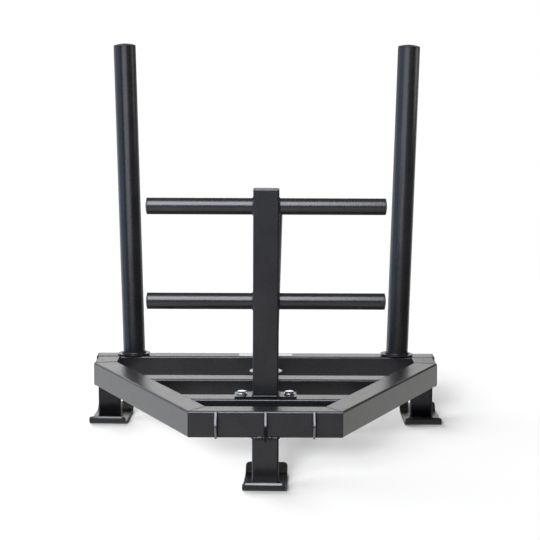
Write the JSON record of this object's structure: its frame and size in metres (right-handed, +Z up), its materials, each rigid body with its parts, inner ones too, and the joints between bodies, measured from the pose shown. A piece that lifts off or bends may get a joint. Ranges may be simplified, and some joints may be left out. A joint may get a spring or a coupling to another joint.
{
  "type": "push sled",
  "caption": "Push sled: a tapered square-tube frame on bent skis, with lift-out push poles, a lift-out weight horn, pull lugs on the nose and a bolted post that carries low push bars.",
  "frame": {"origin": "on the floor, under the middle of the sled's outline as seen from above", "axes": "+Z up, +Y towards the push poles at the back, so the nose with its pull lugs faces -Y, and +X to the right as seen from the nose end"},
  "size_m": [0.77, 0.7602, 0.8268],
  "materials": {
    "frame_paint": "satin black powder coat with a fine texture",
    "ski_paint": "satin black powder coat, worn on the sole",
    "cap_plastic": "moulded black plastic, satin",
    "zinc": "bright zinc plating"
  },
  "bodies": {
    "frame": {"nose_bar": "frame_paint", "left_diagonal": "frame_paint", "right_diagonal": "frame_paint", "left_side_rail": "frame_paint", "right_side_rail": "frame_paint", "front_crossbar": "frame_paint", "middle_crossbar": "frame_paint", "rear_crossbar": "frame_paint", "rear_spine": "frame_paint", "rear_crossbar_left_cap": "cap_plastic", "rear_crossbar_right_cap": "cap_plastic", "left_pull_lug": "frame_paint", "centre_pull_lug": "frame_paint", "right_pull_lug": "frame_paint", "front_foot": "frame_paint", "front_ski": "ski_paint", "rear_left_foot": "frame_paint", "rear_left_ski": "ski_paint", "rear_right_foot": "frame_paint", "rear_right_ski": "ski_paint", "left_pole_socket": "frame_paint", "right_pole_socket": "frame_paint", "weight_horn_socket": "frame_paint", "post_base_plate": "frame_paint", "centre_post": "frame_paint", "centre_post_cap": "cap_plastic", "upper_bar": "frame_paint", "upper_bar_left_cap": "cap_plastic", "upper_bar_right_cap": "cap_plastic", "lower_bar": "frame_paint", "lower_bar_left_cap": "cap_plastic", "lower_bar_right_cap": "cap_plastic", "left_base_bolt": "zinc", "left_upper_washer": "zinc", "left_lower_washer": "zinc", "left_base_nut": "zinc", "right_base_bolt": "zinc", "right_upper_washer": "zinc", "right_lower_washer": "zinc", "right_base_nut": "zinc"},
    "left_pole": {"left_pole_spigot": "frame_paint", "left_pole_flange": "frame_paint", "left_pole_tube": "frame_paint", "left_pole_cap": "cap_plastic"},
    "right_pole": {"right_pole_spigot": "frame_paint", "right_pole_flange": "frame_paint", "right_pole_tube": "frame_paint", "right_pole_cap": "cap_plastic"},
    "weight_horn": {"weight_horn_spigot": "frame_paint", "weight_horn_flange": "frame_paint", "weight_horn_tube": "frame_paint", "weight_horn_cap": "cap_plastic"}
  },
  "joints": [
    {"name": "left_pole_lift", "type": "slide", "parent": "frame", "child": "left_pole", "axis": [-0.0262, 0, 0.9997], "range_m": [0, 0.1]},
    {"name": "right_pole_lift", "type": "slide", "parent": "frame", "child": "right_pole", "axis": [0.0262, 0, 0.9997], "range_m": [0, 0.1]},
    {"name": "weight_horn_lift", "type": "slide", "parent": "frame", "child": "weight_horn", "axis": [0.0262, 0, 0.9997], "range_m": [0, 0.1]}
  ]
}
